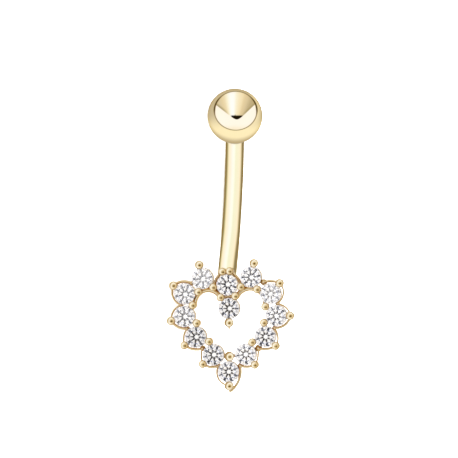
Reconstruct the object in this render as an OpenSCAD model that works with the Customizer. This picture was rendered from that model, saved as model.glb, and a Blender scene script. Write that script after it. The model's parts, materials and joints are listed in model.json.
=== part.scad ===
// Navel ring: a curved bar with a screw-on ball at its upper end and an open heart of thirteen
// prong-set round stones soldered to its lower end. It lies face up on a flat surface, leaning
// on the left edge of the heart, the back of the bar and the ball.
//
// The heart has its own frame: x to the right, y up towards the ball, z out of the face. Its
// zero is at the middle of the notch, at the height of the notch stone. Every piece is made in
// that frame, and at_rest() lays the whole ring down.

/* [Ball] */
// Diameter of the ball
ball_d = 4.76; // [4:0.02:6]
// Depth of the round recess in the ball that takes the end of the bar
recess_depth = 0.2; // [0.1:0.05:0.3]
// Gap round the bar's end and under it, inside that recess
recess_gap = 0.04; // [0.03:0.01:0.08]

/* [Bar] */
// Diameter of the bar
bar_d = 1.63; // [1.5:0.01:1.8]
// Radius that the bar is bent to, along its middle
bend_r = 11.8; // [10.8:0.1:13]
// Angle of the bar's upper end to the plane of the heart
upper_angle = 32; // [26:1:38]
// Angle of its lower end to the same plane
lower_angle = 34; // [28:1:40]
// Lean of the bar to the right over the heart
bar_lean = 3.4; // [0:0.1:6]
// How far the foot of the bar is left of the middle of the notch
foot_offset = 0.34; // [0:0.01:0.5]
// How far the foot of the bar lies behind the back of the heart
foot_depth = 0.2; // [0.1:0.05:0.4]
// Diameter of the round blob of solder that joins the foot to the heart
solder_d = 1.72; // [1.66:0.02:1.9]

/* [Screw] */
// Diameter of the threaded post over its crests
post_d = 1.2; // [1.1:0.01:1.24]
// Length of the post beyond the end of the bar
post_l = 2.4; // [1.8:0.1:2.8]
// Distance from one crest of the thread to the next
thread_pitch = 0.25; // [0.2:0.01:0.35]
// Depth of the thread
thread_depth = 0.08; // [0.05:0.01:0.12]
// Running clearance of the post in the ball's bore, on the radius
thread_gap = 0.04; // [0.03:0.01:0.08]
// Free depth of the bore beyond the tip of the post
bore_spare = 0.2; // [0.1:0.05:0.3]

/* [Stones] */
// Diameter of each stone over its girdle
stone_d = 1.86; // [1.8:0.01:1.9]
// Usual gap from the girdle of one stone to the next
stone_gap = 0.22; // [0.2:0.01:0.32]
// Width of the flat table on top of a stone
table_w = 1.08; // [0.96:0.02:1.16]
// Height of the crown, from the girdle up to the table
crown_h = 0.28; // [0.22:0.01:0.32]
// Height of the girdle band
girdle_h = 0.06; // [0.03:0.01:0.1]
// Depth of the pavilion, from the girdle down to its point
pavilion_h = 0.8; // [0.75:0.005:0.84]
// Gap between each stone and the metal that holds it
seat_gap = 0.03; // [0.02:0.01:0.04]

/* [Setting] */
// Height of the girdles of the stones over the back of the setting
girdle_z = 1.2; // [1.1:0.05:1.5]
// How far the rims of the baskets lie under the girdles, out of sight
rim_drop = 0.12; // [0.1:0.01:0.15]
// How far the baskets stay inside the edges of their stones
rim_inset = 0.01; // [0:0.01:0.03]
// Diameter of the hole in the back of each basket
back_hole_d = 1.4; // [1.2:0.05:1.5]
// Diameter of the wire of each prong
prong_d = 0.66; // [0.6:0.01:0.7]
// How deep the prongs and corner posts are set into the baskets
bite = 0.04; // [0.03:0.01:0.08]
// Diameter of the round tip of each inner prong
tip_d = 0.7; // [0.62:0.02:0.74]
// Radius of the flat crown of each tip, seen from the side
tip_crown_r = 0.7; // [0.6:0.05:0.9]
// Radius of the tight round edge of each tip
tip_edge_r = 0.16; // [0.12:0.01:0.2]
// Height of the prong tips above the girdles
tip_rise = 0.36; // [0.32:0.01:0.44]
// Height at which the rounded feet of the prongs begin
foot_h = 0.15; // [0.1:0.01:0.3]
// Diameter of the larger prong tip in the valley over the point of the heart
valley_tip_d = 0.86; // [0.74:0.02:0.9]
// How far the pointed heels of the lowest prong and the pendant's reach past their tips
heel_out = 0.18; // [0.1:0.02:0.3]
// Width of the curved gallery strips inside the two lobes
gallery_w = 0.45; // [0.4:0.01:0.5]
// Height of those strips
gallery_h = 0.75; // [0.5:0.05:0.9]
// Diameter of the stronger of the two round rails that arch out from each outer prong
rail_d = 0.24; // [0.2:0.01:0.28]
// Diameter of the thinner one
thin_rail_d = 0.16; // [0.12:0.01:0.2]
// Gap that shows between the edge of a stone and its stronger rail
rail_gap = 0.03; // [0.02:0.01:0.08]
// Height of the middle of the rails
rail_z = 0.9; // [0.7:0.05:0.95]

/* [Hidden] */
gold = [0.93, 0.79, 0.5];
clear_stone = [0.93, 0.92, 0.98];
round_fn = 64;
facet_n = 8;
ball_r = ball_d / 2;
bar_r = bar_d / 2;
stone_r = stone_d / 2;
pitch = stone_d + stone_gap;
basket_r = stone_r - rim_inset;
prong_reach = basket_r + prong_d / 2 - bite;
rail_reach = stone_r + rail_gap + rail_d / 2;
// A little more than any wall, for cuts that run out of the metal
overrun = 0.5;

// The stones, anticlockwise from the one left of the notch, seen from the front: across and up, as
// shares of the pitch, the turn of the facets, how far the stone is tipped and towards where,
// the direction of its own outer prong, and that prong's tip as a share of tip_d. The last is the
// side of the stronger rail: 1 towards the next stone, -1 towards the one before, 0 for no rails.
// Angles count from the right, in degrees.
ACROSS = 0;
UP = 1;
TURN = 2;
TIP = 3;
TOWARDS = 4;
PRONG = 5;
BREADTH = 6;
STRONGER = 7;
STONES = [
    // across, up, turn, tip, towards, prong, tip share, stronger rail
    [-1.086, 0.261, 8, 4, 100, 103, 1.07, 0],
    [-1.823, -0.375, 20, 4, 75, 144, 1.06, -1],
    [-1.835, -1.315, 3, 2, 110, 198, 1.06, 1],
    [-1.360, -2.170, -4, 0, 0, 216, 1, 1],
    [-0.630, -2.905, 13, 0, 0, 221, 0.99, 1],
    [0.000, -3.605, 22, 2, 20, 273, 1.15, 1],
    [0.709, -2.880, 10, 3, 30, 312, 0.99, -1],
    [1.525, -2.143, 18, 2, 60, 319, 1.02, -1],
    [1.981, -1.272, 30, 3, 60, 0, 1.08, -1],
    [1.749, -0.361, 12, 5, 35, 49, 1.06, 1],
    [0.928, 0.332, 5, 3, 95, 77, 1.1, 0],
    [-0.058, 0.000, 33, 2, 260, 94, 0.98, 0],
    [0.025, -0.982, 0, 0, 0, 270, 1.15, 0],
];
// The pendant hangs inside the ring of the others, the notch stone ends the ring, and the stone
// at the point is half way round it
PENDANT = len(STONES) - 1;
RING = PENDANT;
NOTCH = RING - 1;
POINT = RING / 2 - 1;
// Half the angle between the two prongs that stand side by side over the notch stone
twin_spread = 15;
// How far the valley tip is from the stone at the point, against the other prongs
valley_share = 1.1;
// How far a gallery strip runs past its last prongs, in degrees of its arc
gallery_reach = 5;
// Share of the strip's width that lies inside the line of the prongs
gallery_inside = 0.67;
// How far the corner posts lie outside the line from one stone to the next
web_out = 0.32;
// Angle between the tight edge of a tip and its crown, where they meet
tip_crease = 10;
// Height of the broad feet of the corner posts
corner_foot_h = 0.5;
// How much thicker their pins are than the rails that meet there, on the radius
pin_margin = 0.05;
// How much lower the rails of every second stone and the bridges of the valley prong lie
rail_step = 0.05;
// Thickness of the bridges from the valley prong to the baskets round it
bridge_d = 0.4;
// Thickness of the tie between the two prongs over the pendant
tie_d = 0.3;
// Thickness of a heel where it leaves its prong, and at its end
heel_d = 0.5;
heel_end_d = 0.16;

// Stones and prongs in the plane of the heart

function stone_at(i) = pitch * [STONES[i][ACROSS], STONES[i][UP]];
function from_angle(a) = [cos(a), sin(a)];
function left_of(v) = [-v[1], v[0]];
// The point at distance reach from both a and b, on the left of the way from a to b
function meet(a, b, reach) = let (way = b - a, half = norm(way) / 2)
    (a + b) / 2 + left_of(way) / norm(way) * sqrt(reach * reach - half * half);
function next_ring(i) = (i + 1) % RING;
// An inner prong is shared by two neighbours of the ring, and lies on the side of the opening
function shared_prong(i) = meet(stone_at(i), stone_at(next_ring(i)), prong_reach);
SINGLE = [for (i = [0:PENDANT]) if (i != NOTCH) i];
// The stones at both sides of the point share the valley prong instead
SHARED = [for (i = [0:NOTCH]) if (i != POINT && i != POINT - 1) i];
function own_prong(i, spread = 0) =
    stone_at(i) + prong_reach * from_angle(STONES[i][PRONG] + spread);
function own_tip(i) = tip_d * STONES[i][BREADTH];
// Each outer prong as its place in the plane and the diameter of its tip
outer_prongs = concat(
    [for (i = SINGLE) [own_prong(i), own_tip(i)]],
    [for (s = [-1, 1]) [own_prong(NOTCH, s * twin_spread), own_tip(NOTCH)]]);
// The two prongs that the notch stone shares with the pendant
right_claw = meet(stone_at(NOTCH), stone_at(PENDANT), prong_reach);
left_claw = meet(stone_at(PENDANT), stone_at(NOTCH), prong_reach);
inner_prongs = concat([for (i = SHARED) shared_prong(i)], [right_claw, left_claw]);
// The valley prong stands over the point, half way between the stones at its two sides
valley_prong = [(stone_at(POINT - 1)[0] + stone_at(POINT + 1)[0]) / 2,
    stone_at(POINT)[1] + prong_reach * valley_share];
// The outer corner between a stone of the ring and the next
function corner(i) = let (way = stone_at(i) - stone_at(next_ring(i)))
    stone_at(i) - way / 2 + left_of(way) / norm(way) * web_out;
// From the middle of a prong to the end of its heel
function heel_reach(i) = own_tip(i) / 2 + heel_out - heel_end_d / 2;

// Centre of the circle through three points of the plane
function circle_through(a, b, c) = let (
    d = 2 * (a[0] * (b[1] - c[1]) + b[0] * (c[1] - a[1]) + c[0] * (a[1] - b[1])),
    x = (a * a) * (b[1] - c[1]) + (b * b) * (c[1] - a[1]) + (c * c) * (a[1] - b[1]),
    y = (a * a) * (c[0] - b[0]) + (b * b) * (a[0] - c[0]) + (c * c) * (b[0] - a[0])
) [x, y] / d;

// The bar: an arc in a plane that stands on the heart and leans by bar_lean

foot = [-foot_offset, 0, -foot_depth];
function lean(along, out) = foot + [along * sin(bar_lean), along * cos(bar_lean), out];
arc_along = bend_r * sin(lower_angle);
arc_out = bend_r * cos(lower_angle);
function arc_point(a) = lean(arc_along + bend_r * sin(a), arc_out - bend_r * cos(a));
function lean_direction(a) = [cos(a) * sin(bar_lean), cos(a) * cos(bar_lean), sin(a)];
bar_end = arc_point(upper_angle);
screw_axis = lean_direction(upper_angle);
recess_r = bar_r + recess_gap;
// From the centre of the ball to the floor of its recess
recess_floor = sqrt(ball_r * ball_r - recess_r * recess_r) - recess_depth;
ball_centre = bar_end + screw_axis * (recess_floor + recess_gap);

// The rest pose: the plane under the ring touches the ball, the back of the bar and the foot of
// one outer prong at the left edge of the heart

REST_PRONG = 1;
rest_foot = [own_prong(REST_PRONG)[0], own_prong(REST_PRONG)[1], foot_h + prong_d / 2];
// Upward normal of the plane that three spheres rest on
function plane_up(c1, r1, c2, r2, c3, r3) = let (
    a = c1 - c2, b = c1 - c3, p = r1 - r2, q = r1 - r3,
    det = (a * a) * (b * b) - (a * b) * (a * b),
    x = (p * (b * b) - q * (a * b)) / det,
    y = (q * (a * a) - p * (a * b)) / det,
    flat = x * a + y * b,
    n = cross(a, b),
    side = sqrt((1 - flat * flat) / (n * n)) * n
) side[2] > 0 ? flat + side : flat - side;
// The bar touches where its middle line runs parallel to the plane, found in a few steps
function contact_angle(up) = atan(-(up[0] * sin(bar_lean) + up[1] * cos(bar_lean)) / up[2]);
function settle(a, steps) = let (
    up = plane_up(ball_centre, ball_r, arc_point(a), bar_r, rest_foot, prong_d / 2)
) steps == 0 ? up : settle(contact_angle(up), steps - 1);
up = settle(0, 12);
rest_axis = cross(up, [0, 0, 1]);
rest_angle = acos(up[2]);
function rested(p) = let (k = rest_axis / norm(rest_axis))
    p * cos(rest_angle) + cross(k, p) * sin(rest_angle)
    + k * (k * p) * (1 - cos(rest_angle));

// What bounds the ring, each as a middle and how far it reaches along each axis: the ball, the
// two ends of every prong, the heels and the bar
lying = rested([0, 0, 1]);
function round_reach(r) = [r, r, r];
function tip_edge_at(width) = width / 2 - tip_edge_r;
function tip_drop(width) = sqrt(pow(tip_crown_r - tip_edge_r, 2) - pow(tip_edge_at(width), 2));
// Height of the widest level of a tip
function tip_z(width) = girdle_z + tip_rise - tip_crown_r + tip_drop(width);
function tip_reach(width) =
    [for (k = [0:2]) tip_edge_r + tip_edge_at(width) * sqrt(1 - lying[k] * lying[k])];
function raised(p, z) = rested([p[0], p[1], z]);
function heel_end(i) =
    raised(own_prong(i) + heel_reach(i) * from_angle(STONES[i][PRONG]), rail_z);
bounds = concat(
    [[rested(ball_centre), round_reach(ball_r)]],
    [for (p = outer_prongs) [raised(p[0], tip_z(p[1])), tip_reach(p[1])]],
    [for (p = outer_prongs) [raised(p[0], foot_h + prong_d / 2), round_reach(prong_d / 2)]],
    [for (i = [POINT, PENDANT]) [heel_end(i), round_reach(heel_end_d / 2)]],
    [for (a = [-lower_angle:1:upper_angle]) [rested(arc_point(a)), round_reach(bar_r)]]);
low = [for (k = [0:2]) min([for (b = bounds) b[0][k] - b[1][k]])];
high = [for (k = [0:2]) max([for (b = bounds) b[0][k] + b[1][k]])];
rest_shift = [-(low[0] + high[0]) / 2, -(low[1] + high[1]) / 2, -low[2]];

module at_rest() {
    translate(rest_shift) rotate(a = rest_angle, v = rest_axis) children();
}

// Puts its children at the end of the bar, with z along the screw
module on_screw(origin) {
    translate(origin) rotate([0, 0, -bar_lean]) rotate([upper_angle - 90, 0, 0]) children();
}

module ball() {
    color(gold) at_rest() difference() {
        translate(ball_centre) sphere(r = ball_r, $fn = round_fn);
        on_screw(ball_centre) {
            translate([0, 0, -ball_r - overrun])
                cylinder(h = ball_r + overrun - recess_floor, r = recess_r, $fn = round_fn);
            translate([0, 0, -ball_r])
                cylinder(h = ball_r - recess_floor - recess_gap + post_l + bore_spare,
                    r = post_d / 2 + thread_gap, $fn = round_fn);
        }
    }
}

// The threaded post, drawn as a row of sharp ridges round a core, with a pointed first ridge
module post() {
    crest = post_d / 2;
    root = crest - thread_depth;
    ridges = floor((post_l - thread_pitch) / thread_pitch);
    on_screw(bar_end) rotate_extrude($fn = round_fn) polygon(concat(
        [[0, -overrun], [root, -overrun], [root, 0]],
        [for (i = [0:ridges - 1]) each [
            [crest, (i + 0.5) * thread_pitch],
            [root, (i + 1) * thread_pitch]]],
        [[root, post_l - thread_depth], [root - thread_depth, post_l], [0, post_l]]));
}

module bar() {
    translate(foot) rotate([0, 0, -bar_lean]) translate([0, arc_along, arc_out])
        rotate([0, 90, 0]) rotate([0, 0, -lower_angle])
        rotate_extrude(angle = lower_angle + upper_angle, $fn = round_fn)
        translate([bend_r, 0]) circle(r = bar_r, $fn = round_fn);
}

// A blob of solder round the foot of the bar, up to the closed back of the notch basket
module solder() {
    translate(foot) sphere(d = solder_d, $fn = round_fn);
    translate([foot[0], 0, foot[2]]) cylinder(h = foot_depth + foot_h, d = solder_d, $fn = round_fn);
}

// Half of the outline of a prong's tip: a flat crown over a tight round edge
module tip_outline(width) {
    middle = [tip_edge_at(width), tip_z(width)];
    last = atan2(tip_drop(width), tip_edge_at(width)) - tip_crease;
    steps = 8;
    edge = [for (k = [0:steps])
        middle + tip_edge_r * from_angle(-90 + (90 + last) * k / steps)];
    // The edge runs on straight from there, until the crown cuts it off
    above = edge[steps] + 1.3 * tip_edge_r * left_of(from_angle(last));
    intersection() {
        translate([0, girdle_z + tip_rise - tip_crown_r]) circle(r = tip_crown_r, $fn = round_fn);
        polygon(concat([[0, middle[1] - tip_edge_r]], edge, [above, [0, above[1]]]));
    }
}

module prong(p, width) {
    wire_r = prong_d / 2;
    translate([p[0], p[1], 0]) rotate_extrude($fn = round_fn) intersection() {
        union() {
            translate([0, foot_h + wire_r]) circle(r = wire_r, $fn = round_fn);
            translate([0, foot_h + wire_r]) square([wire_r, tip_z(width) - foot_h - wire_r]);
            tip_outline(width);
        }
        square([width, girdle_z + tip_rise + overrun]);
    }
}

// A pointed heel at the foot of a prong, which shows past its tip
module heel(i) {
    p = own_prong(i);
    translate([p[0], p[1], rail_z]) rotate([0, 0, STONES[i][PRONG]]) rotate([0, 90, 0]) {
        cylinder(h = heel_reach(i), d1 = heel_d, d2 = heel_end_d, $fn = round_fn);
        translate([0, 0, heel_reach(i)]) sphere(d = heel_end_d, $fn = round_fn);
    }
}

module prongs() {
    for (p = outer_prongs) prong(p[0], p[1]);
    for (p = inner_prongs) prong(p, tip_d);
    prong(valley_prong, valley_tip_d);
}

module baskets() {
    for (i = [0:len(STONES) - 1])
        translate(stone_at(i)) cylinder(h = girdle_z - rim_drop, r = basket_r, $fn = round_fn);
}

// A post in the outer corner between two neighbours: its broad foot is set into the basket of
// each, and its thin round-topped pin carries the rails
module webs() {
    for (i = [0:NOTCH - 2]) translate([corner(i)[0], corner(i)[1], foot_h / 2]) {
        web_r = norm(corner(i) - stone_at(i)) - basket_r + bite;
        pin_r = rail_d / 2 + pin_margin;
        cylinder(h = corner_foot_h - foot_h / 2, r = web_r, $fn = round_fn);
        cylinder(h = rail_z - foot_h / 2, r = pin_r, $fn = round_fn);
        translate([0, 0, rail_z - foot_h / 2]) sphere(r = pin_r, $fn = round_fn);
    }
}

// A straight bar from one point of the plane to another
module bridge(a, b, z, width) {
    way = b - a;
    translate([a[0], a[1], z]) rotate([0, 0, atan2(way[1], way[0])]) rotate([0, 90, 0])
        cylinder(h = norm(way), d = width, $fn = round_fn);
}

// The valley prong stands on three bridges that run into the baskets round it, and a tie runs
// from one prong of the pendant to the other
module bridges() {
    for (k = [-1:1]) bridge(valley_prong, stone_at(POINT + k),
        foot_h + bridge_d / 2 + (2 + k) * rail_step, bridge_d - (1 + k) * rail_step);
    bridge(left_claw, right_claw, rail_z, tie_d);
}

// A round rail from a to b, which arches out from the middle of stone i in between
module rail(i, a, b, z, width) {
    from_a = (a - stone_at(i)) / norm(a - stone_at(i));
    from_b = (b - stone_at(i)) / norm(b - stone_at(i));
    out = (from_a + from_b) / norm(from_a + from_b);
    centre = circle_through(a, stone_at(i) + out * rail_reach, b);
    start = atan2(a[1] - centre[1], a[0] - centre[0]);
    sweep = (atan2(b[1] - centre[1], b[0] - centre[0]) - start + 720) % 360;
    translate([centre[0], centre[1], z]) rotate([0, 0, start])
        rotate_extrude(angle = sweep, $fn = round_fn)
        translate([norm(a - centre), 0]) circle(d = width, $fn = round_fn);
}

// The rails of a stone run from its outer prong to the corners at its two sides, and over the
// notch from its two outer prongs to the two at its sides. At the point the stronger one starts
// at the end of the heel.
module rails() {
    for (i = [0:NOTCH]) if (STONES[i][STRONGER] != 0) {
        z = rail_z - i % 2 * rail_step;
        strong = STONES[i][STRONGER] > 0;
        root = own_prong(i) + (i == POINT ? heel_reach(i) : 0) * from_angle(STONES[i][PRONG]);
        rail(i, strong ? root : own_prong(i), corner(i), strong ? z : z - rail_step / 2,
            strong ? rail_d : thin_rail_d);
        rail(i, corner((i + RING - 1) % RING), own_prong(i), strong ? z - rail_step / 2 : z,
            strong ? thin_rail_d : rail_d);
    }
    rail(NOTCH, own_prong(NOTCH, twin_spread), shared_prong(NOTCH), rail_z, rail_d);
    rail(NOTCH, shared_prong(NOTCH - 1), own_prong(NOTCH, -twin_spread), rail_z, rail_d);
}

// A curved strip along the inner edge of a lobe, through three shared prongs
module gallery(a, b, c) {
    centre = circle_through(a, b, c);
    radius = norm(a - centre);
    start = atan2(a[1] - centre[1], a[0] - centre[0]);
    sweep = (atan2(c[1] - centre[1], c[0] - centre[0]) - start + 720) % 360;
    translate([centre[0], centre[1], foot_h / 3]) rotate([0, 0, start - gallery_reach])
        rotate_extrude(angle = sweep + 2 * gallery_reach, $fn = round_fn)
        translate([radius - gallery_w * gallery_inside, 0]) {
            square([gallery_w, gallery_h - gallery_w / 2]);
            translate([gallery_w / 2, gallery_h - gallery_w / 2])
                circle(d = gallery_w, $fn = round_fn);
        }
}

module galleries() {
    gallery(left_claw, shared_prong(0), shared_prong(1));
    gallery(shared_prong(NOTCH - 3), shared_prong(NOTCH - 2), right_claw);
}

// Puts its children at the girdle of a stone, with the stone's own tip and turn
module on_stone(i) {
    s = STONES[i];
    translate([stone_at(i)[0], stone_at(i)[1], girdle_z])
        rotate([0, 0, s[TOWARDS]]) rotate([0, s[TIP], 0]) rotate([0, 0, s[TURN] - s[TOWARDS]])
        children();
}

// The space that a stone takes, with its gap, and the hole behind it
module seat(i) {
    seat_r = stone_r + seat_gap;
    slope = pavilion_h / stone_r;
    hole_r = back_hole_d / 2;
    top = girdle_h + crown_h + 2 * seat_gap;
    // The basket of the notch stone keeps a closed back, which the bar is soldered to
    bottom = i == NOTCH ? pavilion_h + 2 * seat_gap : girdle_z + overrun;
    on_stone(i) rotate_extrude($fn = round_fn) polygon([
        [0, -bottom], [hole_r, -bottom], [hole_r, -(seat_r - hole_r) * slope],
        [seat_r, 0], [seat_r, girdle_h + seat_gap], [table_w / 2 + seat_gap, top], [0, top]]);
}

module bar_and_setting() {
    color(gold) at_rest() difference() {
        union() {
            union() {
                bar();
                post();
                solder();
            }
            union() {
                union() {
                    baskets();
                    webs();
                }
                union() {
                    prongs();
                    for (i = [POINT, PENDANT]) heel(i);
                    bridges();
                }
            }
            union() {
                galleries();
                rails();
            }
        }
        for (i = [0:len(STONES) - 1]) seat(i);
    }
}

// A round brilliant: an eight-sided table, star, kite and half facets above the girdle, and half
// facets and kites below it that end in a point
module brilliant() {
    step = 360 / facet_n;
    half = step / 2;
    table_r = table_w / 2;
    // Where the kites and the half facets meet, above and below the girdle
    star_r = table_r + 0.42 * (stone_r - table_r);
    star_z = girdle_h + crown_h
        - crown_h * (star_r * cos(half) - table_r) / (stone_r - table_r);
    lower_r = 0.24 * stone_r;
    lower_z = -pavilion_h * (1 - lower_r * cos(half) / stone_r);
    // Points in rings from the table down: where each ring starts in the list
    star = facet_n;
    upper = 2 * facet_n;
    lower = 4 * facet_n;
    deep = 6 * facet_n;
    tip = 7 * facet_n;
    function ring(count, r, z, first) = [for (k = [0:count - 1])
        [r * cos(first + k * 360 / count), r * sin(first + k * 360 / count), z]];
    points = concat(
        ring(facet_n, table_r, girdle_h + crown_h, 0), ring(facet_n, star_r, star_z, half),
        ring(2 * facet_n, stone_r, girdle_h, 0), ring(2 * facet_n, stone_r, 0, 0),
        ring(facet_n, lower_r, lower_z, half), [[0, 0, -pavilion_h]]);
    faces = concat(
        [[for (k = [facet_n - 1:-1:0]) k]],
        [for (k = [0:facet_n - 1]) let (
            next = (k + 1) % facet_n,
            before = (k + facet_n - 1) % facet_n,
            kite = 2 * k,
            middle = kite + 1,
            next_kite = 2 * next
        ) each [
            [k, next, star + k],
            [k, star + k, upper + kite], [k, upper + kite, star + before],
            [star + k, upper + middle, upper + kite],
            [star + k, upper + next_kite, upper + middle],
            [upper + kite, upper + middle, lower + middle, lower + kite],
            [upper + middle, upper + next_kite, lower + next_kite, lower + middle],
            [deep + k, lower + kite, lower + middle],
            [deep + k, lower + middle, lower + next_kite],
            [tip, lower + kite, deep + k], [tip, deep + before, lower + kite]]]);
    polyhedron(points = points, faces = faces);
}

module stone(i) {
    color(clear_stone) at_rest() on_stone(i) brilliant();
}

ball();
bar_and_setting();
stone(0);  // stone_1
stone(1);  // stone_2
stone(2);  // stone_3
stone(3);  // stone_4
stone(4);  // stone_5
stone(5);  // stone_6
stone(6);  // stone_7
stone(7);  // stone_8
stone(8);  // stone_9
stone(9);  // stone_10
stone(10);  // stone_11
stone(11);  // stone_12
stone(12);  // stone_13
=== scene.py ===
"""Navel ring: a bent bar, a screw-on ball and an open heart of claw-set clear stones.

The ring lies face up on a pale floor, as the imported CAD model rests. This script dresses it in
polished gold and clear faceted stones, and sets the studio light and the camera.
"""

from __future__ import annotations

import json  # noqa: E402
import logging  # noqa: E402
import math  # noqa: E402
from dataclasses import dataclass, field  # noqa: E402
from enum import Enum  # noqa: E402
from typing import Any, Callable, Sequence, Union  # noqa: E402

import bpy  # noqa: E402
import numpy as np  # noqa: E402
from mathutils import Matrix, Vector  # noqa: E402


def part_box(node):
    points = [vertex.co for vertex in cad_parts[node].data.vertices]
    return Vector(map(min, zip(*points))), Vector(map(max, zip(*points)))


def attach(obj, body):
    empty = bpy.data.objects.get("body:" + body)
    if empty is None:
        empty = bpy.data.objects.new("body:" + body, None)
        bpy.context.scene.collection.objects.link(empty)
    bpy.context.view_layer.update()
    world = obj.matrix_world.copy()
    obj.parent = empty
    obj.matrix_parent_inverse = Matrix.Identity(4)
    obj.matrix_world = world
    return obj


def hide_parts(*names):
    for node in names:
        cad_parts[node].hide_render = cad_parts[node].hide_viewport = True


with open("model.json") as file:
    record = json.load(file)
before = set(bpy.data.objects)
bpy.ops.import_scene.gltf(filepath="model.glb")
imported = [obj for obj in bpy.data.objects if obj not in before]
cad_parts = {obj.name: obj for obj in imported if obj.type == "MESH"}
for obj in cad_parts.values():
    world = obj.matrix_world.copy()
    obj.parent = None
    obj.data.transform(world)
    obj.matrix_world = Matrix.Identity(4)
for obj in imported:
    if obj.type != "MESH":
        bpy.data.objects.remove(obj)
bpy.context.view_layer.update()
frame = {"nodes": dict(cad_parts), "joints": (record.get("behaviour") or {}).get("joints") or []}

log = logging.getLogger("navel_ring")

MM = 0.001
BALL_NODE = "ball"
BALL_BODY = "ball"
SETTING_NODE = "bar_and_setting"
STONE_PREFIX = "stone_"
NOTCH_STONE = "stone_12"
WELD_DECIMALS = 8  # points of a stone that agree to so many decimals of a metre are one
GIRDLE_SHARE = 0.95  # points further out than this share of a stone's radius are on its girdle
LIGHT_BOUNCES = 24
GLOSSY_BOUNCES = 12

Colour = tuple[float, float, float]
Span = tuple[float, float]
Stops = Sequence[tuple[float, Colour]]
Point = Sequence[float]


class Ray(Enum):
    """Kinds of rays that a piece of the studio can be hidden from."""

    CAMERA = "camera"
    DIFFUSE = "diffuse"
    GLOSSY = "glossy"
    TRANSMISSION = "transmission"
    SHADOW = "shadow"
    VOLUME = "volume_scatter"


# Shader trees


class Wire:
    """One output of a node, used like a number in shader maths."""

    def __init__(self, tree: "Tree", socket: bpy.types.NodeSocket) -> None:
        """Keeps the socket and the tree it belongs to."""
        self.tree = tree
        self.socket = socket

    def _math(self, operation: str, *values: "Number", swap: bool = False) -> "Wire":
        """Adds a Math node.

        Args:
            operation: The node's operation.
            values: The other values, after this one.
            swap: True if this value comes second.

        Returns:
            The node's result.
        """
        operands: list[Number] = [self, *values]
        if swap:
            operands[0], operands[1] = operands[1], operands[0]
        return self.tree.add("ShaderNodeMath", {"operation": operation}, dict(enumerate(operands)))

    def __add__(self, other: "Number") -> "Wire":
        """Returns the sum."""
        return self._math("ADD", other)

    __radd__ = __add__

    def __sub__(self, other: "Number") -> "Wire":
        """Returns this value less the other."""
        return self._math("SUBTRACT", other)

    def __rsub__(self, other: "Number") -> "Wire":
        """Returns the other value less this one."""
        return self._math("SUBTRACT", other, swap=True)

    def __mul__(self, other: "Number") -> "Wire":
        """Returns the product."""
        return self._math("MULTIPLY", other)

    __rmul__ = __mul__

    def __truediv__(self, other: "Number") -> "Wire":
        """Returns this value over the other."""
        return self._math("DIVIDE", other)

    def __pow__(self, other: "Number") -> "Wire":
        """Returns this value to a power."""
        return self._math("POWER", other)

    def __abs__(self) -> "Wire":
        """Returns the value without its sign."""
        return self._math("ABSOLUTE")

    def root(self) -> "Wire":
        """Returns the square root."""
        return self._math("SQRT")

    def most(self, other: "Number") -> "Wire":
        """Returns the larger of two values."""
        return self._math("MAXIMUM", other)

    def rise(self, low: float, high: float) -> "Wire":
        """Returns a smooth step.

        Args:
            low: The value at which the step is 0.
            high: The value at which it is 1, which may be the lower of the two.

        Returns:
            A value from 0 to 1.
        """
        first, last = (0.0, 1.0) if low < high else (1.0, 0.0)
        return self.tree.add(
            "ShaderNodeMapRange",
            {"interpolation_type": "SMOOTHSTEP"},
            {0: self, 1: min(low, high), 2: max(low, high), 3: first, 4: last},
        )

    def ramp(self, stops: Stops) -> "Wire":
        """Returns a colour read from a ramp of (place, colour) stops."""
        return self.tree.add("ShaderNodeValToRGB", {"stops": stops}, {0: self})


Number = Union[float, Wire]


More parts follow.
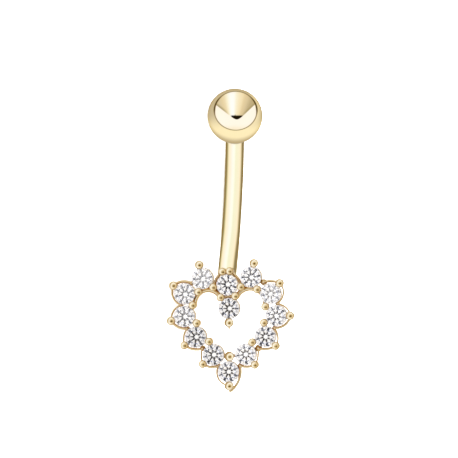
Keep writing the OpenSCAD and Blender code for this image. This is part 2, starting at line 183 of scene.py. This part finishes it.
class Tree:
    """A node tree of a material or of the world."""

    def __init__(self, owner: bpy.types.ID) -> None:
        """Empties the owner's node tree."""
        owner.use_nodes = True
        self.tree: bpy.types.NodeTree = owner.node_tree
        self.tree.nodes.clear()

    def add(
        self,
        kind: str,
        settings: dict[str, Any] | None = None,
        sockets: dict[str | int, Any] | None = None,
        out: str | int = 0,
    ) -> Wire:
        """Adds a node of any kind.

        Args:
            kind: The node's type.
            settings: Its settings, such as an operation or the stops of a ramp.
            sockets: The values or wires of its inputs, by name or number.
            out: The output that is returned.

        Returns:
            That output as a wire, or the first input's stand-in for an end node.
        """
        node = self.tree.nodes.new(kind)
        for name, value in (settings or {}).items():
            if name == "stops":
                self._fill_ramp(node.color_ramp, value)
            else:
                setattr(node, name, value)
        for key, value in (sockets or {}).items():
            if isinstance(value, Wire):
                self.tree.links.new(value.socket, node.inputs[key])
            else:
                node.inputs[key].default_value = value
        return Wire(self, node.outputs[out] if len(node.outputs) else node.inputs[0])

    @staticmethod
    def _fill_ramp(ramp: bpy.types.ColorRamp, stops: Stops) -> None:
        """Gives a ramp its stops, from left to right."""
        while len(ramp.elements) > 1:
            ramp.elements.remove(ramp.elements[-1])
        ramp.elements[0].position, ramp.elements[0].color = stops[0][0], (*stops[0][1], 1.0)
        for place, colour in stops[1:]:
            ramp.elements.new(place).color = (*colour, 1.0)

    def mix(self, factor: Number, first: Any, second: Any) -> Wire:
        """Mixes two colours.

        Args:
            factor: 0 gives the first and 1 the second.
            first: A colour or wire.
            second: A colour or wire.

        Returns:
            The mixed colour.
        """
        ends = [x if isinstance(x, Wire) else (*x, 1.0) for x in (first, second)]
        return self.add(
            "ShaderNodeMix", {"data_type": "RGBA"}, {0: factor, 6: ends[0], 7: ends[1]}, 2
        )

    def dot(self, first: Any, second: Point) -> Wire:
        """Returns the dot product of a vector and a fixed direction."""
        return self.add(
            "ShaderNodeVectorMath", {"operation": "DOT_PRODUCT"}, {0: first, 1: tuple(second)}, 1
        )

    def noise(self, scale: float, detail: float = 2.0, stretch: Point = (1, 1, 1)) -> Wire:
        """Returns noise over the surface.

        Args:
            scale: Waves in a metre.
            detail: Octaves.
            stretch: How much the noise is squeezed along each axis.

        Returns:
            Noise from 0 to 1.
        """
        place = self.add("ShaderNodeTexCoord", out="Object")
        placed = self.add("ShaderNodeMapping", None, {"Vector": place, "Scale": tuple(stretch)})
        return self.add(
            "ShaderNodeTexNoise", None, {"Vector": placed, "Scale": scale, "Detail": detail}
        )


# Finishes


@dataclass(frozen=True)
class Gold:
    """Mirror-polished pale yellow gold with faint marks of the polishing wheel."""

    name: str = "polished_gold"
    colour: Colour = (0.95, 0.785, 0.475)
    worn_colour: Colour = (0.93, 0.755, 0.435)
    # Painted shade: a deeper gold where the surface is closed in, in crevices and corners
    crevice_shade_colour: Colour = (0.85, 0.67, 0.4)
    crevice_shade_reach: float = 0.45 * MM
    crevice_shade_samples: int = 8
    crevice_shade_span: Span = (0.3, 0.95)
    edge_tint: Colour = (0.8, 0.68, 0.48)
    roughness: float = 0.05
    roughness_spread: float = 0.05
    patch_waves: float = 900.0
    patch_detail: float = 3.0
    mark_waves: float = 14000.0
    mark_stretch: Point = (1.0, 0.12, 1.0)
    mark_depth: float = 0.02
    mark_height: float = 1e-5

    def material(self) -> bpy.types.Material:
        """Builds the material."""
        material = bpy.data.materials.new(self.name)
        tree = Tree(material)
        patches = tree.noise(self.patch_waves, self.patch_detail)
        marks = tree.noise(self.mark_waves, stretch=self.mark_stretch)
        # Painted shade: ambient occlusion turns the colour to the deeper gold in crevices and
        # where claws, beads and stones meet
        crevice_shade_openness = tree.add(
            "ShaderNodeAmbientOcclusion",
            {"samples": self.crevice_shade_samples},
            {"Distance": self.crevice_shade_reach},
            "AO",
        )
        polished = tree.mix(patches, self.worn_colour, self.colour)
        colour = tree.mix(crevice_shade_openness.rise(*self.crevice_shade_span), self.crevice_shade_colour, polished)
        roughness = self.roughness + marks * patches * self.roughness_spread
        normal = tree.add(
            "ShaderNodeBump",
            None,
            {"Strength": self.mark_depth, "Distance": self.mark_height, "Height": marks},
        )
        surface = tree.add(
            "ShaderNodeBsdfPrincipled",
            None,
            {
                "Base Color": colour,
                "Metallic": 1.0,
                "Roughness": roughness,
                "Specular Tint": (*self.edge_tint, 1.0),
                "Normal": normal,
            },
        )
        tree.add("ShaderNodeOutputMaterial", None, {"Surface": surface})
        return material


@dataclass(frozen=True)
class ClearStone:
    """Clear faceted stone, colourless with a breath of lavender."""

    name: str = "clear_stone"
    colour: Colour = (0.985, 0.98, 0.99)
    haze_colour: Colour = (0.96, 0.955, 0.975)
    # Painted shade: the darker colour of the crown facets next to the girdle
    edge_shade_colour: Colour = (0.68, 0.65, 0.645)
    glint: Colour = (0.5, 0.58, 0.8)
    index: float = 2.15
    haze: float = 0.012
    cloud_waves: float = 700.0
    edge_shade_start: Span = (0.6, 0.68)
    edge_shade_stop: Span = (0.79, 0.755)

    def material(self, axis: Vector, shade: float, painted_veil: float) -> bpy.types.Material:
        """Builds the material of one stone.

        Args:
            axis: The direction that the stone faces.
            shade: Painted shade, the share of the stone's colour that is kept.
            painted_veil: How milky it is, from 0 to 1, standing in for a painted reflection of a
                pale veil.

        Returns:
            The material.
        """
        material = bpy.data.materials.new(self.name)
        tree = Tree(material)
        cloud = tree.noise(self.cloud_waves)
        # Painted shade: the crown facets next to the girdle, told by their slope, are coloured
        # a little darker
        normal = tree.add("ShaderNodeNewGeometry", out="True Normal")
        inside = Wire(tree, normal.socket.node.outputs["Backfacing"])
        slope = tree.dot(normal, axis) * (1.0 - inside * 2.0)
        edge = slope.rise(*self.edge_shade_start) * slope.rise(*self.edge_shade_stop)
        # shade darkens every tone of this stone: painted shade
        clear, hazy, rim = (
            tuple(shade * x for x in tone)
            for tone in (self.colour, self.haze_colour, self.edge_shade_colour)
        )
        # rim is the painted shade colour of the crown facets next to the girdle
        colour = tree.mix(edge, tree.mix(cloud, clear, hazy), rim)
        surface = tree.add(
            "ShaderNodeBsdfPrincipled",
            None,
            {
                "Base Color": colour,
                "Roughness": cloud * self.haze,
                "IOR": self.index,
                "Specular Tint": (*self.glint, 1.0),
                # Transmission Weight below 1 makes the stone milky, standing in for a painted
                # reflection of a pale veil
                "Transmission Weight": 1.0 - painted_veil,
            },
        )
        tree.add("ShaderNodeOutputMaterial", None, {"Surface": surface})
        return material


@dataclass(frozen=True)
class PaleFloor:
    """Plain white board."""

    name: str = "pale_floor"
    colour: Colour = (0.92, 0.92, 0.92)
    grain_waves: float = 40.0
    grain_shade: float = 0.99

    def material(self) -> bpy.types.Material:
        """Builds the material."""
        material = bpy.data.materials.new(self.name)
        tree = Tree(material)
        grain = tree.noise(self.grain_waves)
        darker = tuple(self.grain_shade * x for x in self.colour)
        colour = tree.mix(grain, self.colour, darker)
        surface = tree.add("ShaderNodeBsdfDiffuse", None, {"Color": colour})
        tree.add("ShaderNodeOutputMaterial", None, {"Surface": surface})
        return material


# Where things are, read from the frame


def screw_axis() -> Vector:
    """Returns the direction in which the ball comes off the bar."""
    return Vector(frame["joints"][0]["axis"]).normalized()


def dress(node: bpy.types.Object, finish: bpy.types.Material) -> None:
    """Gives a CAD piece its finish.

    Args:
        node: The CAD piece.
        finish: The material.
    """
    node.data.materials.clear()
    node.data.materials.append(finish)
    log.info("%s: %d faces in %s", node.name, len(node.data.polygons), finish.name)


@dataclass
class StonePlace:
    """Where one stone sits: the middle of its girdle and the direction it faces."""

    centre: Vector
    axis: Vector

    @classmethod
    def of(cls, node: bpy.types.Object) -> "StonePlace":
        """Measures a stone of the frame.

        Args:
            node: The stone's CAD object.

        Returns:
            Its place.
        """
        corners = [v.co[:] for v in node.data.vertices]
        points = np.unique(np.round(corners, WELD_DECIMALS), axis=0)
        middle = points.mean(0)
        _, _, axes = np.linalg.svd(points - middle)
        axis = axes[2]
        heights = (points - middle) @ axis
        if heights.max() > -heights.min():  # the point of a stone is further off than its table
            axis, heights = -axis, -heights
        across = np.linalg.norm(points - middle - np.outer(heights, axis), axis=1)
        girdle = points[across > GIRDLE_SHARE * across.max()]
        return cls(Vector(girdle.mean(0)), Vector(axis))


@dataclass
class Heart:
    """The heart's own directions and the place of each of its stones."""

    bar_lean: float = math.radians(3.4)
    stones: dict[str, StonePlace] = field(init=False)
    out: Vector = field(init=False)
    up: Vector = field(init=False)
    right: Vector = field(init=False)

    def __post_init__(self) -> None:
        """Works the directions out of the stones and the screw."""
        self.stones = {
            name: StonePlace.of(node)
            for name, node in frame["nodes"].items()
            if name.startswith(STONE_PREFIX)
        }
        centres = np.array([place.centre[:] for place in self.stones.values()])
        _, _, axes = np.linalg.svd(centres - centres.mean(0))
        self.out = Vector(axes[2])
        if self.out.z < 0:
            self.out.negate()
        screw = screw_axis()
        leaning = (screw - self.out * screw.dot(self.out)).normalized()
        self.up = Matrix.Rotation(self.bar_lean, 3, self.out) @ leaning
        self.right = self.up.cross(self.out)

    def notch(self) -> Vector:
        """Returns the middle of the notch stone's girdle."""
        return self.stones[NOTCH_STONE].centre


# The studio


def hide_from(piece: bpy.types.Object, *rays: Ray) -> None:
    """Hides a piece of the studio from some kinds of rays.

    Args:
        piece: The piece.
        rays: The kinds.
    """
    for ray in rays:
        setattr(piece, f"visible_{ray.value}", False)


@dataclass
class Eye:
    """The photograph's point of view, in directions of the world."""

    heart: Heart
    turn: float = math.radians(5.0)
    right: Vector = field(init=False)
    up: Vector = field(init=False)
    back: Vector = field(init=False)

    def __post_init__(self) -> None:
        """Turns the heart's directions to the eye."""
        out, right = self.heart.out, self.heart.right
        self.up = self.heart.up
        self.back = out * math.cos(self.turn) + right * math.sin(self.turn)
        self.right = right * math.cos(self.turn) - out * math.sin(self.turn)


@dataclass
class Camera:
    """The camera, far enough away to see the ring almost without perspective."""

    eye: Eye
    distance: float = 300 * MM
    near: float = 10 * MM
    far: float = 20.0
    sensor: float = 36.0
    picture: float = 458.0
    pixels_per_mm: float = 11.6
    notch_pixel: tuple[float, float] = (227.0, 284.9)

    def build(self) -> bpy.types.Object:
        """Makes the camera and gives it to the scene.

        Returns:
            The camera.
        """
        data = bpy.data.cameras.new("camera")
        data.sensor_width = self.sensor
        width = self.picture / self.pixels_per_mm * MM
        data.lens = self.sensor * self.distance / width
        data.clip_start, data.clip_end = self.near, self.far
        camera = bpy.data.objects.new("camera", data)
        bpy.context.scene.collection.objects.link(camera)
        eye = self.eye
        aside = (self.picture / 2 - self.notch_pixel[0]) / self.pixels_per_mm * MM
        above = (self.notch_pixel[1] - self.picture / 2) / self.pixels_per_mm * MM
        target = eye.heart.notch() + eye.right * aside + eye.up * above
        place = Matrix((eye.right, eye.up, eye.back)).transposed().to_4x4()
        place.translation = target + eye.back * self.distance
        camera.matrix_world = place
        bpy.context.scene.camera = camera
        return camera


@dataclass
class Studio:
    """The light round the ring, and the pale board under it.

    The light is drawn as a polished bead shows it to the eye: by the distance of each direction
    from the middle of the bead's disc, from 0 to 1. It stays where it is in the world when the
    camera moves.
    """

    eye: Eye
    bead_light: Stops = (
        (0.0, (0.12, 0.08, 0.03)),
        (0.10, (0.14, 0.09, 0.03)),
        (0.14, (0.7, 0.61, 0.45)),
        (0.22, (0.8, 0.74, 0.66)),
        (0.30, (1.04, 1.16, 1.5)),
        (0.38, (1.04, 1.16, 1.5)),
        (0.46, (0.46, 0.36, 0.24)),
        (0.62, (0.39, 0.29, 0.17)),
        (0.74, (0.85, 0.82, 0.8)),
        (1.0, (0.85, 0.82, 0.78)),
    )
    bead_middle: tuple[float, float] = (0.03, -0.05)
    stone_light: Stops = (
        (0.0, (0.015, 0.015, 0.02)),
        (0.122, (0.02, 0.02, 0.03)),
        (0.145, (0.85, 0.85, 0.9)),
        (0.2, (1.25, 1.25, 1.27)),
        (0.26, (1.35, 1.35, 1.35)),
        (0.38, (1.35, 1.35, 1.35)),
        (0.43, (0.4, 0.41, 0.48)),
        (0.6, (0.25, 0.26, 0.32)),
        (0.9, (0.2, 0.21, 0.28)),
    )
    floor_light: float = 3.7
    floor_width: float = 6.0

    def build(self) -> None:
        """Makes the world and the floor."""
        world = bpy.data.worlds.new("light_tent")
        bpy.context.scene.world = world
        world.cycles.sampling_method = "NONE"
        tree = Tree(world)
        ray = tree.add("ShaderNodeLightPath").socket.node
        glossy = Wire(tree, ray.outputs["Is Glossy Ray"])
        through = Wire(tree, ray.outputs["Is Transmission Ray"])
        plain = (self.floor_light,) * 3
        middle_u, middle_v = self.bead_middle
        for_metal = self.from_middle(tree, middle_u, middle_v).ramp(self.bead_light)
        for_stones = self.from_middle(tree, 0.0, 0.0).ramp(self.stone_light)
        # A refracted ray counts as glossy too, so the stones' light is laid over the metal's
        light = tree.mix(through, tree.mix(glossy, plain, for_metal), for_stones)
        background = tree.add("ShaderNodeBackground", None, {"Color": light, "Strength": 1.0})
        tree.add("ShaderNodeOutputWorld", None, {"Surface": background})
        self.floor()

    def from_middle(self, tree: Tree, middle_u: float, middle_v: float) -> Wire:
        """Finds how far from a middle a bead's disc shows a direction of the world.

        Args:
            tree: The world's tree.
            middle_u: How far right the middle lies.
            middle_v: How far up it lies.

        Returns:
            The distance, where the disc's edge is 1.
        """
        direction = tree.add("ShaderNodeTexCoord", out="Generated")
        half = tree.add(
            "ShaderNodeVectorMath", {"operation": "ADD"}, {0: direction, 1: tuple(self.eye.back)}
        )
        facing = tree.add("ShaderNodeVectorMath", {"operation": "NORMALIZE"}, {0: half})
        u, v = tree.dot(facing, self.eye.right), tree.dot(facing, self.eye.up)
        return ((u - middle_u) ** 2.0 + (v - middle_v) ** 2.0).root()

    def floor(self) -> bpy.types.Object:
        """Makes the floor.

        Returns:
            The floor, which reflections and stones look through.
        """
        half = self.floor_width / 2
        mesh = bpy.data.meshes.new("floor")
        corners = [(-half, -half, 0.0), (half, -half, 0.0), (half, half, 0.0), (-half, half, 0.0)]
        mesh.from_pydata(corners, [], [(0, 1, 2, 3)])
        mesh.materials.append(PaleFloor().material())
        floor = bpy.data.objects.new("floor", mesh)
        bpy.context.scene.collection.objects.link(floor)
        hide_from(floor, Ray.GLOSSY, Ray.TRANSMISSION)
        return floor


# The ring


def mesh_object(name: str, points: np.ndarray, faces: list[tuple[int, ...]]) -> bpy.types.Object:
    """Makes a smooth mesh object.

    Args:
        name: The object's name.
        points: Its points, in metres in the world.
        faces: Its faces, as rows of point numbers.

    Returns:
        The object, linked to the scene.
    """
    mesh = bpy.data.meshes.new(name)
    mesh.from_pydata([tuple(p) for p in points], [], faces)
    mesh.shade_smooth()
    made = bpy.data.objects.new(name, mesh)
    bpy.context.scene.collection.objects.link(made)
    return made


def grid_faces(rows: int, columns: int, closed: bool) -> list[tuple[int, int, int, int]]:
    """Lists the four-sided faces between rows of points.

    Args:
        rows: The number of rows.
        columns: The number of points in each.
        closed: True if each row is a ring.

    Returns:
        The faces.
    """
    last = columns if closed else columns - 1
    return [
        (i * columns + j, i * columns + (j + 1) % columns,
         (i + 1) * columns + (j + 1) % columns, (i + 1) * columns + j)
        for i in range(rows - 1)
        for j in range(last)
    ]  # fmt: skip


@dataclass
class Ball:
    """The screw-on ball, turned on its axis, with its recess and bore.

    Its sizes are those of the CAD ball, whose place it takes.
    """

    finish: bpy.types.Material
    radius: float = 2.38 * MM
    recess_radius: float = 0.855 * MM
    recess_depth: float = 0.2 * MM
    recess_gap: float = 0.04 * MM
    bore_radius: float = 0.64 * MM
    bore_end: float = 0.539 * MM
    lip: float = 0.02 * MM
    axis_radius: float = 1e-7
    top_angle: float = math.pi - 1e-3
    crease: float = math.radians(40)
    round_points: int = 128
    arc_points: int = 72

    def centre(self) -> Vector:
        """Returns the middle of the ball in the frame."""
        low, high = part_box(BALL_NODE)
        return (low + high) / 2

    def rim(self) -> float:
        """Returns how far the rim of the recess is from the middle."""
        return math.sqrt(self.radius**2 - self.recess_radius**2)

    def bar_end(self) -> Vector:
        """Returns the middle of the bar's end, which the ball sits on."""
        seat = self.rim() - self.recess_depth + self.recess_gap
        return self.centre() - screw_axis() * seat

    def profile(self) -> list[tuple[float, float]]:
        """Draws half of the ball's section.

        Returns:
            Points as (distance from the axis, place along it), from the bore's end to the top.
        """
        floor = -self.rim() + self.recess_depth
        start = math.atan2(self.recess_radius + self.lip, self.rim())
        arc = np.linspace(start, self.top_angle, self.arc_points)
        inner = [
            (self.axis_radius, self.bore_end),
            (self.bore_radius, self.bore_end),
            (self.bore_radius, floor),
            (self.recess_radius, floor),
            (self.recess_radius, -self.rim() + self.lip),
        ]
        return inner + [(self.radius * math.sin(a), -self.radius * math.cos(a)) for a in arc]

    def build(self) -> bpy.types.Object:
        """Turns the ball in the place of the CAD ball.

        Returns:
            The ball.
        """
        axis, centre, profile = screw_axis(), self.centre(), self.profile()
        across = axis.orthogonal().normalized()
        beside = axis.cross(across)
        turns = np.linspace(0, 2 * math.pi, self.round_points, endpoint=False)
        spokes = [across * math.cos(turn) + beside * math.sin(turn) for turn in turns]
        rows = [
            centre + axis * along + spoke * reach for reach, along in profile for spoke in spokes
        ]
        faces = grid_faces(len(profile), self.round_points, True)
        ball = mesh_object("screw_on_ball", np.array(rows), faces)
        ball.data.materials.append(self.finish)
        ball.data.set_sharp_from_angle(angle=self.crease)
        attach(ball, BALL_BODY)
        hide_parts(BALL_NODE)
        log.info("%s: %d faces", ball.name, len(ball.data.polygons))
        return ball


@dataclass
class Setting:
    """The bar and the heart of baskets and claws soldered to it."""

    finish: bpy.types.Material

    def build(self) -> bpy.types.Object:
        """Dresses the CAD piece.

        Returns:
            The piece.
        """
        node = frame["nodes"][SETTING_NODE]
        dress(node, self.finish)
        return node


@dataclass
class Card:
    """A card of the studio close round one part of the ring, which only that part reflects.

    It glows on its inner side, and only towards what is nearer than its reach.
    """

    name: str
    reach: float
    draw: Callable[[Wire, Wire], Wire]
    fade: float = 1.02
    unseen_by: tuple[Ray, ...] = (
        Ray.CAMERA,
        Ray.DIFFUSE,
        Ray.TRANSMISSION,
        Ray.SHADOW,
        Ray.VOLUME,
    )

    def material(self) -> bpy.types.Material:
        """Builds the card's material.

        Returns:
            The material, drawn from the card's two coordinates.
        """
        material = bpy.data.materials.new(self.name)
        material.cycles.emission_sampling = "NONE"
        tree = Tree(material)
        place = tree.add("ShaderNodeUVMap")
        axes = tree.add("ShaderNodeSeparateXYZ", None, {0: place}).socket.node
        drawn = self.draw(Wire(tree, axes.outputs["X"]), Wire(tree, axes.outputs["Y"]))
        glow = tree.add("ShaderNodeEmission", None, {"Color": drawn, "Strength": 1.0})
        inner = Wire(tree, tree.add("ShaderNodeNewGeometry").socket.node.outputs["Backfacing"])
        ray = tree.add("ShaderNodeLightPath").socket.node
        close = Wire(tree, ray.outputs["Ray Length"]).rise(self.fade * self.reach, self.reach)
        nothing = tree.add("ShaderNodeBsdfTransparent")
        seen = tree.add("ShaderNodeMixShader", None, {0: inner * close, 1: nothing, 2: glow})
        tree.add("ShaderNodeOutputMaterial", None, {"Surface": seen})
        return material

    def build(
        self, rows: list[list[Vector]], places: list[list[tuple[float, float]]], middle: Vector
    ) -> bpy.types.Object:
        """Makes the card from rows of points.

        Args:
            rows: The rows.
            places: The card's two coordinates at each point.
            middle: A point on the inner side of the card's first face.

        Returns:
            The card, which is part of the studio.
        """
        card = mesh_object(
            self.name,
            np.array([p for row in rows for p in row]),
            grid_faces(len(rows), len(rows[0]), False),
        )
        flat = [place for row in places for place in row]
        layer = card.data.uv_layers.new(name="card")
        for loop in card.data.loops:
            layer.data[loop.index].uv = flat[loop.vertex_index]
        first = card.data.polygons[0]
        if first.normal.dot(first.center - middle) < 0:
            card.data.flip_normals()
        card.data.materials.append(self.material())
        hide_from(card, *self.unseen_by)
        return card


@dataclass
class BallTent:
    """The light tent close round the ball.

    It is drawn as the ball shows it to the eye: u and v run right and up over the ball's disc,
    from -1 to 1. Each point of the tent lies where a ray from the eye meets it by way of the ball.
    """

    ball: Ball
    eye: Eye
    spread: float = 1.04
    reach_margin: float = 1.02
    rings: int = 96
    back_rings: int = 32
    sides: int = 144
    # The opening: the middle's u and v, and half its width and height
    opening: tuple[float, float, float, float] = (0.022, 0.17, 0.768, 0.7065)
    opening_blur: float = 0.015
    # The sheet's lower edge, a V
    tip_place: float = 0.075
    tip_roundness: float = 0.012
    edge_slope: float = 0.92
    edge_tilt: float = 0.09
    edge_drop: float = 0.26
    edge_blur: float = 0.025
    # The sheet's folds, which fan out upwards, and the darker hem along its edge
    fold_shift: float = 0.075
    fan_start: float = 0.1
    fan_widening: float = 0.35
    fan_width: float = 0.3
    fan_span: float = 3.0
    hem_height: float = 0.14
    hem_sides: Span = (0.15, 0.5)
    hem_colour: Colour = (0.42, 0.40, 0.3)
    sheet_folds: Stops = (
        (0.17, (0.76, 0.77, 0.8)),
        (0.25, (0.85, 0.84, 0.8)),
        (0.31, (0.92, 0.93, 0.96)),
        (0.36, (1.02, 1.12, 1.3)),
        (0.41, (1.06, 1.25, 1.75)),
        (0.45, (1.1, 1.3, 2.05)),
        (0.52, (1.1, 1.3, 2.0)),
        (0.57, (1.04, 1.18, 1.5)),
        (0.63, (1.02, 1.07, 1.2)),
        (0.70, (0.97, 0.98, 1.0)),
        (0.757, (0.85, 0.82, 0.78)),
        (0.82, (0.77, 0.75, 0.72)),
        (0.923, (0.58, 0.56, 0.5)),
    )
    # The table below the sheet
    table_span: Span = (-0.3, -0.56)
    table_back: Colour = (1.12, 1.24, 1.75)
    table_front: Colour = (1.03, 1.1, 1.3)
    # The board outside the opening, and the glow at its right
    board_span: Span = (0.1, -0.55)
    board_reach: Span = (0.6, 0.32)
    board_dim: Colour = (0.66, 0.67, 0.7)
    board_bright: Colour = (1.08, 1.12, 1.12)
    glow_reach: float = 0.3
    glow_side: Span = (0.5, 0.95)
    glow_colour: Colour = (1.0, 1.03, 1.05)
    # The seam round the opening: a thin line in a halo, both broader where the V's ends meet it
    ends_low: Span = (-0.05, 0.25)
    ends_high: Span = (0.8, 0.5)
    seam_width: float = 0.75
    seam_side_width: float = 0.2
    seam_end_width: float = 0.75
    halo_reach: float = 0.055
    halo_strength: float = 0.7
    halo_colour: Colour = (0.6, 0.52, 0.32)
    line_span: Span = (0.034, 0.01)
    line_strength: float = 0.65
    line_end_strength: float = 0.35
    line_colour: Colour = (0.1, 0.075, 0.018)
    # The dark mouth in the sheet's tip
    mouth_edge: Span = (-0.015, 0.005)
    mouth_top: Span = (0.02, -0.035)
    mouth_middle: float = 0.065
    mouth_sides: Span = (0.25, 0.17)
    mouth_colour: Colour = (0.012, 0.008, 0.002)

    def draw(self, u: Wire, v: Wire) -> Wire:
        """Draws what the ball reflects.

        Args:
            u: How far right of the middle of the ball's disc.
            v: How far up.

        Returns:
            The light's colour.
        """
        mix = u.tree.mix
        # The tent's opening seen from the ball, a slightly flat circle
        middle_u, middle_v, wide, tall = self.opening
        across, rise = (u - middle_u) / wide, (v - middle_v) / tall
        beyond = (across**2.0 + rise**2.0).root() - 1.0
        # The sheet that hangs in the top of the tent ends in a V with a rounded tip
        side = u - self.tip_place
        bend = ((side * self.edge_slope) ** 2.0 + self.tip_roundness).root()
        over = v - (bend + side * self.edge_tilt - self.edge_drop)
        sheet = over.rise(-self.edge_blur, self.edge_blur)
        fan = (v + self.fan_start).most(0.0) * self.fan_widening + self.fan_width
        fold = (u + self.fold_shift) / fan
        folds = (fold / self.fan_span + 0.5).ramp(self.sheet_folds)
        hem = over.rise(self.hem_height, 0.0) * abs(u).rise(*self.hem_sides)
        folds = mix(hem, folds, self.hem_colour)
        table = mix(v.rise(*self.table_span), self.table_back, self.table_front)
        inside = mix(sheet, table, folds)
        # Outside the opening: the board under the tent, bright below and dim above
        lit = v.rise(*self.board_span) * beyond.rise(*self.board_reach)
        outside = mix(lit, self.board_dim, self.board_bright)
        glow = beyond.rise(self.glow_reach, 0.0) * across.rise(*self.glow_side)
        outside = mix(glow, outside, self.glow_colour)
        light = mix(beyond.rise(-self.opening_blur, self.opening_blur), inside, outside)
        # The thin dark seam round the opening
        ends = v.rise(*self.ends_low) * v.rise(*self.ends_high)
        width = self.seam_width + self.seam_side_width * abs(across) + self.seam_end_width * ends
        seam = abs(beyond) / width
        light = mix(seam.rise(self.halo_reach, 0.0) * self.halo_strength, light, self.halo_colour)
        strength = self.line_strength + self.line_end_strength * ends
        light = mix(seam.rise(*self.line_span) * strength, light, self.line_colour)
        # The dark mouth, a smile in the rounded tip of the sheet
        mouth = (
            over.rise(*self.mouth_edge)
            * v.rise(*self.mouth_top)
            * abs(u - self.mouth_middle).rise(*self.mouth_sides)
        )
        return mix(mouth, light, self.mouth_colour)

    def build(self) -> bpy.types.Object:
        """Makes the tent.

        Returns:
            The tent, which is part of the studio.
        """
        centre, radius, eye = self.ball.centre(), self.ball.radius, self.eye
        size = self.spread * radius
        rows = []
        for angle in np.linspace(0.0, math.pi / 2, self.rings):
            near, far = math.cos(angle), math.sin(angle)
            way = radius * (math.sqrt(near**2 + self.spread**2 - 1.0) - near)
            along = radius * near + way * math.cos(2 * angle)
            aside = radius * far + way * math.sin(2 * angle)
            rows.append((along, aside, far))
        behind = math.atan2(rows[-1][1], rows[-1][0])
        for angle in np.linspace(behind, math.pi, self.back_rings)[1:]:
            rows.append((size * math.cos(angle), size * math.sin(angle), 1.0))
        turns = [2 * math.pi * k / self.sides for k in range(self.sides + 1)]
        points = [
            [
                centre + eye.back * along
                + (eye.right * math.cos(turn) + eye.up * math.sin(turn)) * aside
                for turn in turns
            ]
            for along, aside, _ in rows
        ]  # fmt: skip
        places = [
            [(shown * math.cos(turn), shown * math.sin(turn)) for turn in turns]
            for _, _, shown in rows
        ]
        reach = self.reach_margin * (radius * math.sqrt(self.spread**2 - 1.0))
        return Card("ball_tent", reach, self.draw).build(points[1:], places[1:], centre)


@dataclass
class Flags:
    """Card flags close round the bar, which draw its long reflections and its dark edges.

    They form an open sleeve round the bar's bend.
    """

    ball: Ball
    eye: Eye
    bend: float = 11.8 * MM
    start: float = math.radians(1.0)
    stop: float = math.radians(62)
    radius: float = 1.6 * MM
    reach: float = 2.6 * MM
    steps: int = 60
    sides: int = 72
    slide: float = 0.04
    slide_span: Span = (0.62, 0.9)
    bands: Stops = (
        (0.14, (0.62, 0.6, 0.52)),
        (0.20, (0.3, 0.27, 0.17)),
        (0.27, (0.33, 0.31, 0.2)),
        (0.305, (0.7, 0.72, 0.62)),
        (0.34, (1.07, 1.13, 1.25)),
        (0.40, (1.07, 1.17, 1.55)),
        (0.46, (1.08, 1.29, 1.88)),
        (0.50, (1.08, 1.3, 1.75)),
        (0.53, (1.0, 1.18, 1.4)),
        (0.58, (1.03, 1.17, 1.38)),
        (0.65, (1.07, 1.15, 1.35)),
        (0.68, (0.92, 0.9, 0.9)),
        (0.71, (0.42, 0.4, 0.3)),
        (0.74, (0.28, 0.25, 0.19)),
        (0.79, (0.3, 0.27, 0.2)),
        (0.86, (0.62, 0.6, 0.52)),
    )

    def draw(self, around: Wire, along: Wire) -> Wire:
        """Draws what the bar reflects.

        Args:
            around: The place round the bar, from 0 to 1.
            along: The place along it, from the ball's end.

        Returns:
            The light's colour.
        """
        return (around + along.rise(*self.slide_span) * self.slide).ramp(self.bands)

    def build(self) -> bpy.types.Object:
        """Bends the sleeve round the bar.

        Returns:
            The sleeve, which is part of the studio.
        """
        axis, out = screw_axis(), self.eye.heart.out
        inward = (out - axis * axis.dot(out)).normalized()
        middle = self.ball.bar_end() + inward * self.bend
        points, places, bar = [], [], []
        for i, angle in enumerate(np.linspace(self.start, self.stop, self.steps)):
            spoke = inward * math.cos(angle) + axis * math.sin(angle)
            along = axis * math.cos(angle) - inward * math.sin(angle)
            towards = (self.eye.back - along * along.dot(self.eye.back)).normalized()
            aside = along.cross(towards).normalized()
            if aside.dot(self.eye.right) < 0:
                aside.negate()
            bar.append(middle - spoke * self.bend)
            turns = [2 * math.pi * (j / self.sides - 0.5) for j in range(self.sides + 1)]
            points.append([
                bar[i] + (towards * math.cos(turn) + aside * math.sin(turn)) * self.radius
                for turn in turns
            ])  # fmt: skip
            places.append([(j / self.sides, i / (self.steps - 1)) for j in range(self.sides + 1)])
        return Card("flags", self.reach, self.draw).build(points, places, bar[0])


@dataclass
class Stones:
    """The round brilliants."""

    heart: Heart
    finish: ClearStone = ClearStone()
    # Painted shade and painted reflection by the stone's number, as (shade, veil): shade darkens
    # the stone's colour, and veil makes it milky to stand in for a pale reflected veil
    shades: dict[int, tuple[float, float]] = field(
        default_factory=lambda: {
            1: (1.0, 0.07),
            2: (1.0, 0.045),
            3: (1.0, 0.03),
            4: (0.84, 0.0),
            5: (0.88, 0.0),
            6: (0.9, 0.0),
            7: (1.0, 0.012),
            8: (0.9, 0.0),
            9: (1.0, 0.03),
            10: (1.0, 0.075),
            11: (1.0, 0.028),
            12: (1.0, 0.01),
            13: (0.88, 0.0),
        }
    )

    def build(self) -> None:
        """Dresses the stones."""
        for name, place in self.heart.stones.items():
            shade, painted_veil = self.shades[int(name.removeprefix(STONE_PREFIX))]
            dress(frame["nodes"][name], self.finish.material(place.axis, shade, painted_veil))


def main() -> None:
    """Builds the ring's looks, the studio and the camera."""
    logging.basicConfig(level=logging.INFO, format="%(message)s")
    scene = bpy.context.scene
    scene.view_settings.view_transform = "Standard"
    scene.cycles.max_bounces = LIGHT_BOUNCES
    scene.cycles.transmission_bounces = LIGHT_BOUNCES
    scene.cycles.glossy_bounces = GLOSSY_BOUNCES
    scene.cycles.use_denoising = True
    heart = Heart()
    eye = Eye(heart)
    gold = Gold().material()
    ball = Ball(gold)
    ball.build()
    Setting(gold).build()
    Stones(heart).build()
    Flags(ball, eye).build()
    BallTent(ball, eye).build()
    Studio(eye).build()
    Camera(eye).build()


if __name__ == "__main__":
    main()
